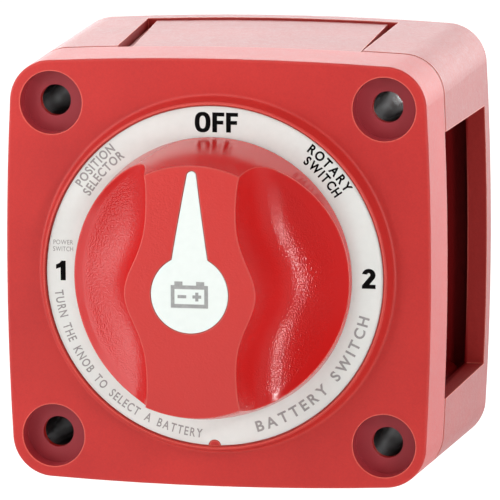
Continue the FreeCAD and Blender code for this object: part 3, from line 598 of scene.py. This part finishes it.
def battery_symbol():
    """A battery seen from the side: case with two posts, a minus and a plus."""
    case = [(-3.0, -2.1), (3.0, -2.1), (3.0, 1.5), (2.4, 1.5), (2.4, 2.1), (1.1, 2.1),
            (1.1, 1.5), (-1.1, 1.5), (-1.1, 2.1), (-2.4, 2.1), (-2.4, 1.5), (-3.0, 1.5)]
    hollow = box_outline(-2.4, -1.5, 2.4, 0.9)
    minus = box_outline(-1.9, -0.55, -0.5, -0.05)
    plus = [(0.95, -1.0), (1.45, -1.0), (1.45, -0.55), (1.9, -0.55), (1.9, -0.05), (1.45, -0.05),
            (1.45, 0.4), (0.95, 0.4), (0.95, -0.05), (0.5, -0.05), (0.5, -0.55), (0.95, -0.55)]
    return [case, hollow, minus, plus]


def flat_shape(name, outlines, material):
    """Solid plate from 2D outlines in millimetres; inner outlines become holes."""
    curve = bpy.data.curves.new(name, "CURVE")
    curve.dimensions = "2D"
    curve.fill_mode = "BOTH"
    curve.extrude = PRINT_THICK / 2 / MM
    for outline in outlines:
        spline = curve.splines.new("POLY")
        spline.points.add(len(outline) - 1)
        for place, (x, y) in zip(spline.points, outline):
            place.co = (x, y, 0.0, 1.0)
        spline.use_cyclic_u = True
    return solid_from(name, curve, material)


def solid_from(name, curve, material):
    """Mesh object from a curve or text datablock drawn in millimetres."""
    holder = bpy.data.objects.new(name + "_curve", curve)
    bpy.context.collection.objects.link(holder)
    bpy.context.view_layer.update()
    mesh = bpy.data.meshes.new_from_object(holder.evaluated_get(bpy.context.evaluated_depsgraph_get()))
    bpy.data.objects.remove(holder)
    mesh.name = name
    mesh.materials.clear()
    mesh.materials.append(material)
    return add_object(name, mesh)


def join(name, objects):
    """Merge meshes whose shapes are already in place."""
    merged = bmesh.new()
    material = objects[0].data.materials[0]
    for item in objects:
        merged.from_mesh(item.data)
        bpy.data.objects.remove(item)
    mesh = bpy.data.meshes.new(name)
    merged.to_mesh(mesh)
    merged.free()
    mesh.materials.append(material)
    return add_object(name, mesh)


def box_of(node):
    low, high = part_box(node)
    return Vector(low), Vector(high)


def lay_on(node, item, x, z, turn=0.0):
    """Stand a flat shape drawn in millimetres on a node's front, its own X and Y along the face."""
    front = box_of(node)[0].y
    upright = Matrix.Rotation(math.radians(90), 4, "X")
    spin = Matrix.Rotation(math.radians(turn), 4, "Z")
    place = Matrix.Translation((x, front - PRINT_THICK / 2, z))
    item.data.transform(place @ upright @ spin @ Matrix.Scale(MM, 4))


def position_marks():
    """OFF at the top, 1 at the left and 2 at the right."""
    letters = []
    for shape, aside in zip((glyph_o, glyph_f, glyph_f), OFF_LETTERS_ASIDE):
        letter = flat_shape("letter", shape(), BLACK_INK)
        lay_on("dial_label", letter, OFF_AT[0] + aside, OFF_AT[1])
        letters.append(letter)
    for shape, x in ((glyph_one, -MARK_RADIUS), (glyph_two, MARK_RADIUS)):
        letter = flat_shape("letter", shape(), BLACK_INK)
        lay_on("dial_label", letter, x, SIDE_MARK_HEIGHT)
        letters.append(letter)
    return join("position_marks", letters)


def letter_solid(letter, height, material, bold, narrow):
    text = bpy.data.curves.new("letter", "FONT")
    text.body = letter
    text.size = height / CAP_RATIO / MM
    text.align_x = "CENTER"
    text.align_y = "CENTER"
    text.offset = bold
    text.extrude = PRINT_THICK / 2 / MM
    item = solid_from("letter", text, material)
    item.data.transform(Matrix.Diagonal((narrow, 1.0, 1.0, 1.0)))
    return item


def width_of(item):
    places = [vertex.co.x for vertex in item.data.vertices]
    return (max(places) - min(places)) * MM


def ring_text(material, words, height, radius, middle, gap, outward, bold, narrow):
    """Capitals set one by one round the dial, centred on the middle angle."""
    letters = []
    for word in words.split():
        letters += [letter_solid(letter, height, material, bold, narrow) for letter in word] + [None]
    letters.pop()
    widths = [width_of(letter) if letter else WORD_GAP * height for letter in letters]
    travelled = -(sum(widths) + gap * (len(letters) - 1)) / 2
    for letter, width in zip(letters, widths):
        along = math.degrees((travelled + width / 2) / radius)
        travelled += width + gap
        if letter:
            angle = middle - along if outward else middle + along
            x, z = radius * math.cos(math.radians(angle)), radius * math.sin(math.radians(angle))
            lay_on("dial_label", letter, x, z, turn=angle + (-90 if outward else 90))
    return [letter for letter in letters if letter]


def line_text(material, word, height, x, z, gap, narrow):
    """A short word set level on the dial."""
    letters = [letter_solid(letter, height, material, 0.0, narrow) for letter in word]
    widths = [width_of(letter) for letter in letters]
    travelled = x - (sum(widths) + gap * (len(letters) - 1)) / 2
    for letter, width in zip(letters, widths):
        lay_on("dial_label", letter, travelled + width / 2, z)
        travelled += width + gap
    return letters


def small_print():
    """Generic words in the places where such a dial carries its fine print."""
    grey, black = [], []
    for words in GREY_RING_WORDS:
        grey += ring_text(GREY_INK, *words)
    for words in LEVEL_WORDS:
        grey += line_text(GREY_INK, *words)
    for words in BLACK_RING_WORDS:
        black += ring_text(BLACK_INK, *words)
    return join("fine_print_grey", grey), join("fine_print_black", black)


def hub_symbol():
    symbol = flat_shape("hub_symbol", battery_symbol(), GREY_INK)
    lay_on("pointer_label", symbol, 0.0, 0.0)
    return symbol


def add_print():
    grey, black = small_print()
    pieces = ((position_marks(), "housing", "black_plastic"), (black, "housing", "black_plastic"),
              (grey, "housing", "label_white"), (hub_symbol(), "turning_parts", "label_white"))
    for piece, body, slot in pieces:
        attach(piece, body)


# ---------------------------------------------------------------- studs

def threaded_stud(node):
    """Stud with a real helical thread, in place of the plain bar."""
    low, high = box_of(node)
    middle = (low + high) / 2
    head_r = (high.x - low.x) / 2
    shank_front = low.y + STUD_HEAD
    tip = high.y
    rows = int((tip - shank_front) / THREAD_PITCH * THREAD_ROWS_PER_TURN)
    vertices, faces = [], []
    for row in range(rows + 1):
        y = shank_front + (tip - shank_front) * row / rows
        lead_in = min(1.0, (tip - y) / STUD_LEAD_IN)
        for step in range(THREAD_AROUND):
            turn = step / THREAD_AROUND
            phase = (y / THREAD_PITCH - turn) % 1.0
            sunk = min(1.0, max(0.0, (abs(phase - 0.5) * 2 - THREAD_CREST) / THREAD_FLANK))
            radius = STUD_RADIUS - THREAD_DEPTH * sunk
            radius = min(radius, STUD_RADIUS - STUD_LEAD_IN * (1 - lead_in))
            angle = 2 * math.pi * turn
            vertices.append((middle.x + radius * math.cos(angle), y, middle.z + radius * math.sin(angle)))
    for row in range(rows):
        for step in range(THREAD_AROUND):
            a = row * THREAD_AROUND + step
            b = row * THREAD_AROUND + (step + 1) % THREAD_AROUND
            faces.append((a, b, b + THREAD_AROUND, a + THREAD_AROUND))
    faces.append(tuple(range(rows * THREAD_AROUND, (rows + 1) * THREAD_AROUND)))
    ring_at = len(vertices)
    chamfer = STUD_HEAD_CHAMFER
    for radius, y in ((head_r, shank_front), (head_r, low.y + chamfer), (head_r - chamfer, low.y)):
        for step in range(THREAD_AROUND):
            angle = 2 * math.pi * step / THREAD_AROUND
            vertices.append((middle.x + radius * math.cos(angle), y, middle.z + radius * math.sin(angle)))
    rings = [0, ring_at, ring_at + THREAD_AROUND, ring_at + 2 * THREAD_AROUND]
    for first, second in zip(rings, rings[1:]):
        for step in range(THREAD_AROUND):
            after = (step + 1) % THREAD_AROUND
            faces.append((first + step, second + step, second + after, first + after))
    faces.append(tuple(range(rings[-1], rings[-1] + THREAD_AROUND)))
    stud = add_mesh(node + "_threaded", vertices, faces, SLOT_MATERIALS["tinned_copper"])
    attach(stud, "housing")
    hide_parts(node)


# ---------------------------------------------------------------- springs

def coils_of(node, side):
    """Copy of a node's springs; a side of -1 or 1 takes only those left or right of the switch axis."""
    shape = bmesh.new()
    shape.from_mesh(frame["nodes"][node].data)
    other = [vertex for vertex in shape.verts if vertex.co.x * side < 0]
    bmesh.ops.delete(shape, geom=other, context="VERTS")
    name = node + {-1: "_coil_left", 0: "_coils", 1: "_coil_right"}[side]
    mesh = bpy.data.meshes.new(name)
    shape.to_mesh(mesh)
    shape.free()
    mesh.materials.append(SLOT_MATERIALS["steel"])
    return add_object(name, mesh)


def squashed_spring(node, side, axis):
    """Copy of a node's springs on the turning parts, in place of the node."""
    axis = Vector(axis)
    piece = coils_of(node, side)
    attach(piece, "turning_parts")
    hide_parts(node)
    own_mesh(piece)


def springs():
    for number in ("1", "2"):
        squashed_spring("contact_springs_" + number, 0, (0, 1, 0))
    squashed_spring("index_springs", -1, (-1, 0, 0))
    squashed_spring("index_springs", 1, (1, 0, 0))


# ---------------------------------------------------------------- stage, light and camera

def floor():
    """White table that glows a little."""
    shader = Shader("floor", roughness=0.6)
    speck = shader.noise(8.0, detail=3.0)
    shader.colour(shader.mix(shader.range(speck, *NOISE_RANGE), FLOOR_GREY, FLOOR_GREY_PALE))
    shader.bsdf.inputs["Emission Color"].default_value = (1.0, 1.0, 1.0, 1.0)
    shader.bsdf.inputs["Emission Strength"].default_value = FLOOR_GLOW
    level = cad_low[2] - FLOOR_DROP
    corners = [(x, y, level) for x, y in box_outline(-FLOOR_HALF, -FLOOR_HALF, FLOOR_HALF, FLOOR_HALF)]
    table = add_mesh("floor", corners, [(0, 1, 2, 3)], shader.material)
    table.visible_glossy = False


def world():
    studio = bpy.data.worlds.new("studio")
    studio.use_nodes = True
    graph = Graph(studio.node_tree)
    _, y, z = graph.split(graph.node("ShaderNodeTexCoord").outputs["Generated"])
    room = graph.range(y, *ROOM_RANGE, ROOM_FRONT, ROOM_SIDE, smooth=True)
    behind = graph.range(y, *BACKDROP_RANGE, smooth=True)
    rise = graph.range(z, *BACKDROP_RISE, BACKDROP_FOOT, BACKDROP, smooth=True)
    top = graph.range(z, *BACKDROP_TOP, 1.0, 0.0, smooth=True)
    backdrop = graph.math("MULTIPLY", behind, graph.math("MULTIPLY", rise, top))
    background = studio.node_tree.nodes["Background"]
    background.inputs["Color"].default_value = (1.0, 1.0, 1.0, 1.0)
    graph.link(graph.math("ADD", room, backdrop), background.inputs["Strength"])
    bpy.context.scene.world = studio


def softbox(name, direction, distance, size, irradiance):
    """Area light that faces the switch, with the light level it gives there on a surface square to it."""
    data = bpy.data.lights.new(name, "AREA")
    data.shape = "RECTANGLE"
    data.size, data.size_y = size
    data.energy = irradiance * (math.pi * distance) ** 2
    light = add_object(name, data)
    aim = Vector((0.0, FACE_Y, 0.0))
    toward = Vector(direction).normalized()
    light.location = aim + toward * distance
    light.rotation_mode = "QUATERNION"
    light.rotation_quaternion = (-toward).to_track_quat("-Z", "Y")


def camera():
    data = bpy.data.cameras.new("camera")
    data.lens = CAMERA_LENS
    data.sensor_width = CAMERA_SENSOR
    data.clip_start, data.clip_end = CAMERA_CLIP
    made = add_object("camera", data)
    azimuth, elevation = math.radians(CAMERA_AZIMUTH), math.radians(CAMERA_ELEVATION)
    flat = math.cos(elevation)
    back = Vector((math.sin(azimuth) * flat, -math.cos(azimuth) * flat, math.sin(elevation)))
    right = Vector((0, 0, 1)).cross(back).normalized()
    up = back.cross(right)
    roll = math.radians(CAMERA_ROLL)
    across = right * math.cos(roll) + up * math.sin(roll)
    upward = up * math.cos(roll) - right * math.sin(roll)
    where = Vector((0, FACE_Y, 0)) + across * CAMERA_ASIDE + upward * CAMERA_UP + back * CAMERA_DISTANCE
    axes = Matrix((across, upward, back)).transposed().to_4x4()
    made.matrix_world = Matrix.Translation(where) @ axes
    bpy.context.scene.camera = made


dress_nodes()
add_print()
for node in ("stud_common", "stud_1", "stud_2"):
    threaded_stud(node)
springs()
floor()
world()
for softbox_values in SOFTBOXES:
    softbox(*softbox_values)
camera()
bpy.context.scene.view_settings.view_transform = "Standard"
